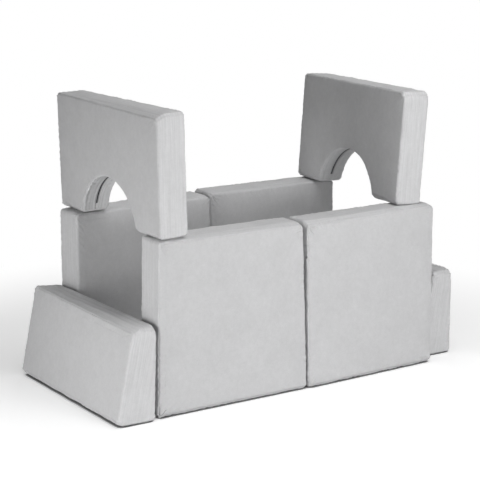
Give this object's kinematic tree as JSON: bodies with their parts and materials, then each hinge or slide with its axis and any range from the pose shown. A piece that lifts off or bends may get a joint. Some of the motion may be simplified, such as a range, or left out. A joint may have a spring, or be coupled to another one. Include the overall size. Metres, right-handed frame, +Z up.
{
  "type": "modular foam play sofa",
  "caption": "Play den stacked from loose foam sofa blocks in zipped velour covers: square panels on edge, arch blocks bridging them and wedges lying at the ends.",
  "frame": {"origin": "middle of the den's footprint, on the floor", "axes": "+X along the long side to the right as seen from the front, +Y to the back, +Z up"},
  "size_m": [1.4908, 0.7952, 1.0138],
  "materials": {
    "velour": "light grey velour with a short soft pile",
    "foam": "open-cell polyurethane foam, cut faces",
    "zip": "woven polyester tape with a nylon coil",
    "slider": "satin lacquered zinc"
  },
  "bodies": {
    "front_left": {"front_left_core": "foam", "front_left_cover": "velour", "front_left_zip": "zip"},
    "front_right": {"front_right_core": "foam", "front_right_cover": "velour", "front_right_zip": "zip"},
    "back_left": {"back_left_core": "foam", "back_left_cover": "velour", "back_left_zip": "zip"},
    "back_right": {"back_right_core": "foam", "back_right_cover": "velour", "back_right_zip": "zip"},
    "left_arch": {"left_arch_core": "foam", "left_arch_cover": "velour", "left_arch_zip": "zip"},
    "right_arch": {"right_arch_core": "foam", "right_arch_cover": "velour", "right_arch_zip": "zip"},
    "left_wedge": {"left_wedge_core": "foam", "left_wedge_cover": "velour", "left_wedge_zip": "zip"},
    "right_wedge": {"right_wedge_core": "foam", "right_wedge_cover": "velour", "right_wedge_zip": "zip"},
    "front_left_runner": {"front_left_slider": "slider"},
    "front_right_runner": {"front_right_slider": "slider"},
    "back_left_runner": {"back_left_slider": "slider"},
    "back_right_runner": {"back_right_slider": "slider"},
    "left_arch_runner": {"left_arch_slider": "slider"},
    "right_arch_runner": {"right_arch_slider": "slider"},
    "left_wedge_runner": {"left_wedge_slider": "slider"},
    "right_wedge_runner": {"right_wedge_slider": "slider"}
  },
  "joints": [
    {"name": "front_right_pull_forward", "type": "slide", "parent": "front_left", "child": "front_right", "axis": [0, -1, 0], "range_m": [0, 0.3]},
    {"name": "back_left_pull_back", "type": "slide", "parent": "front_left", "child": "back_left", "axis": [0, 1, 0], "range_m": [0, 0.3]},
    {"name": "back_right_pull_back", "type": "slide", "parent": "front_left", "child": "back_right", "axis": [0, 1, 0], "range_m": [0, 0.3]},
    {"name": "left_arch_lift", "type": "slide", "parent": "front_left", "child": "left_arch", "axis": [0, 0, 1], "range_m": [0, 0.4]},
    {"name": "right_arch_lift", "type": "slide", "parent": "front_left", "child": "right_arch", "axis": [0, 0, 1], "range_m": [0, 0.4]},
    {"name": "left_wedge_pull_out", "type": "slide", "parent": "front_left", "child": "left_wedge", "axis": [-1, 0, 0], "range_m": [0, 0.3]},
    {"name": "right_wedge_pull_out", "type": "slide", "parent": "front_left", "child": "right_wedge", "axis": [1, 0, 0], "range_m": [0, 0.3]},
    {"name": "front_left_zip_run", "type": "slide", "parent": "front_left", "child": "front_left_runner", "axis": [-1, 0, 0], "range_m": [0, 0.474]},
    {"name": "front_right_zip_run", "type": "slide", "parent": "front_right", "child": "front_right_runner", "axis": [-0.9996, -0.0297, 0], "range_m": [0, 0.447]},
    {"name": "back_left_zip_run", "type": "slide", "parent": "back_left", "child": "back_left_runner", "axis": [-0.9981, -0.061, 0], "range_m": [0, 0.455]},
    {"name": "back_right_zip_run", "type": "slide", "parent": "back_right", "child": "back_right_runner", "axis": [-1, 0, 0], "range_m": [0, 0.455]},
    {"name": "left_wedge_zip_run", "type": "slide", "parent": "left_wedge", "child": "left_wedge_runner", "axis": [0.0105, -0.9999, 0], "range_m": [0, 0.588]},
    {"name": "right_wedge_zip_run", "type": "slide", "parent": "right_wedge", "child": "right_wedge_runner", "axis": [0, -1, 0], "range_m": [0, 0.588]},
    {"name": "left_arch_zip_run", "type": "hinge", "parent": "left_arch", "child": "left_arch_runner", "pos_m": [-0.50355, -0.02085, 0.56453], "axis": [-0.9997, 0, -0.0244], "range_deg": [0, 134.1]},
    {"name": "right_arch_zip_run", "type": "hinge", "parent": "right_arch", "child": "right_arch_runner", "pos_m": [0.52748, 0.01248, 0.56356], "axis": [-0.9931, 0.0921, 0.0732], "range_deg": [0, 134.1]}
  ]
}
